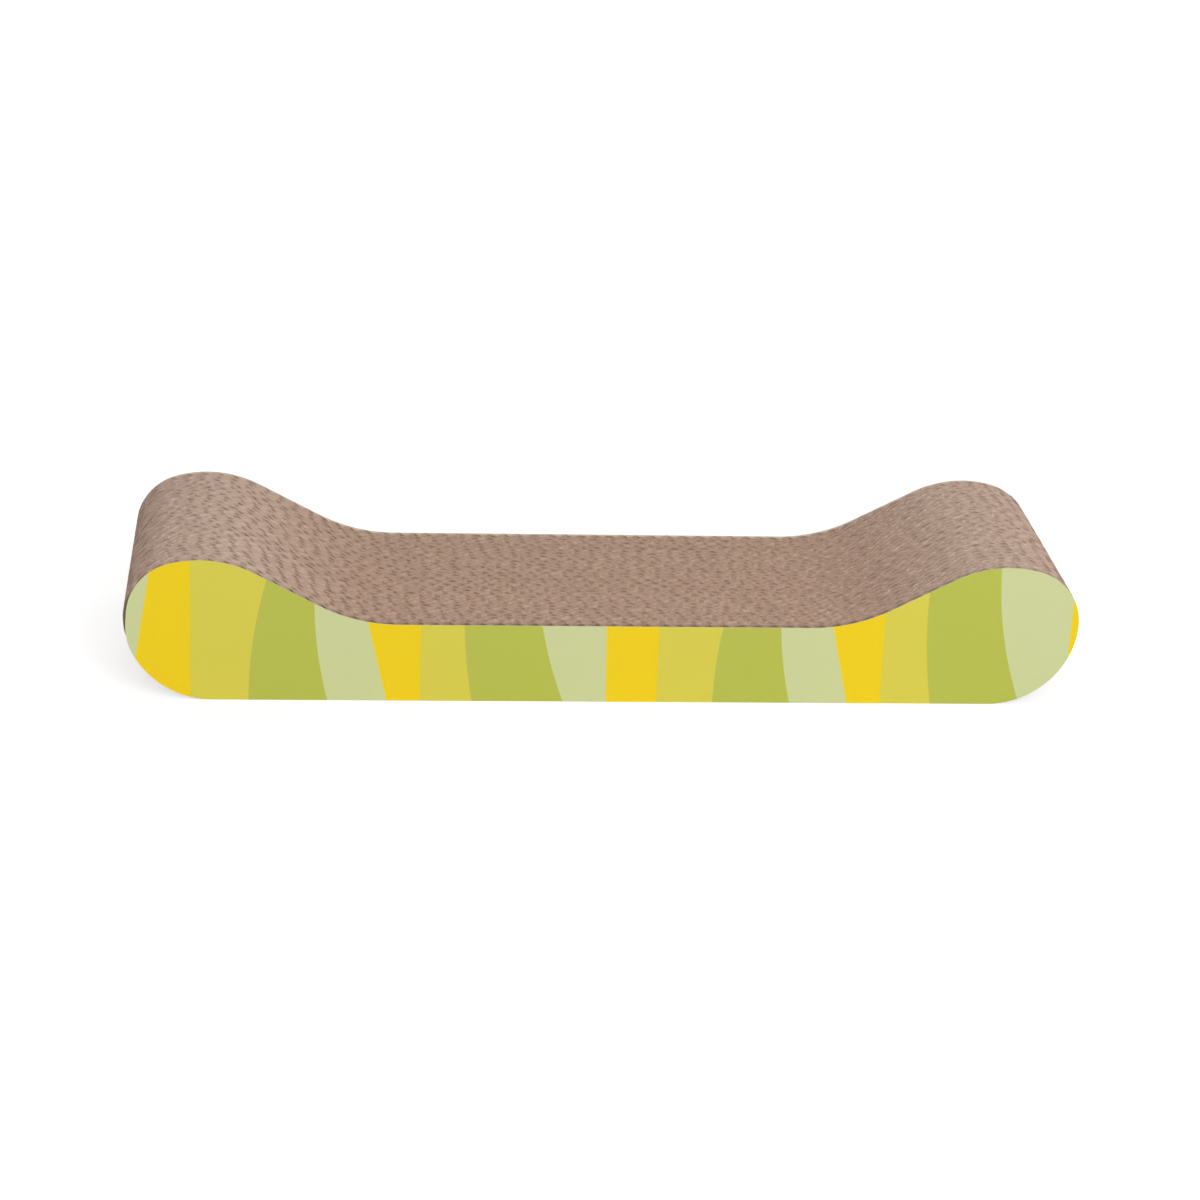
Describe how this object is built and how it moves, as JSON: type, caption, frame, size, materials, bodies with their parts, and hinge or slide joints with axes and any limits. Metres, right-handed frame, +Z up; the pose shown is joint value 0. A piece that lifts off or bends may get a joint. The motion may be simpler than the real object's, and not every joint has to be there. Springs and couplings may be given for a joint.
{
  "type": "cat scratcher lounger",
  "caption": "Low corrugated cardboard scratching lounger for a cat: upright boards glued face to face into a block with a flat seat between two raised round ends, and striped printed sides.",
  "frame": {"origin": "on the floor, under the middle of the block", "axes": "+X along the lounger, to the right as seen from the printed front; +Y from the front sheet to the back sheet, across the boards; +Z up"},
  "size_m": [0.465, 0.128, 0.0722],
  "materials": {
    "kraft_board": "matte",
    "printed_paper": "satin"
  },
  "bodies": {
    "root": {"scratch_board_01": "kraft_board", "scratch_board_02": "kraft_board", "scratch_board_03": "kraft_board", "scratch_board_04": "kraft_board", "scratch_board_05": "kraft_board", "scratch_board_06": "kraft_board", "scratch_board_07": "kraft_board", "scratch_board_08": "kraft_board", "scratch_board_09": "kraft_board", "scratch_board_10": "kraft_board", "scratch_board_11": "kraft_board", "scratch_board_12": "kraft_board", "scratch_board_13": "kraft_board", "scratch_board_14": "kraft_board", "scratch_board_15": "kraft_board", "scratch_board_16": "kraft_board", "scratch_board_17": "kraft_board", "scratch_board_18": "kraft_board", "scratch_board_19": "kraft_board", "scratch_board_20": "kraft_board", "scratch_board_21": "kraft_board", "scratch_board_22": "kraft_board", "scratch_board_23": "kraft_board", "scratch_board_24": "kraft_board", "scratch_board_25": "kraft_board", "scratch_board_26": "kraft_board", "scratch_board_27": "kraft_board", "scratch_board_28": "kraft_board", "scratch_board_29": "kraft_board", "scratch_board_30": "kraft_board", "scratch_board_31": "kraft_board", "front_print_sheet": "printed_paper", "back_print_sheet": "printed_paper"}
  },
  "joints": []
}
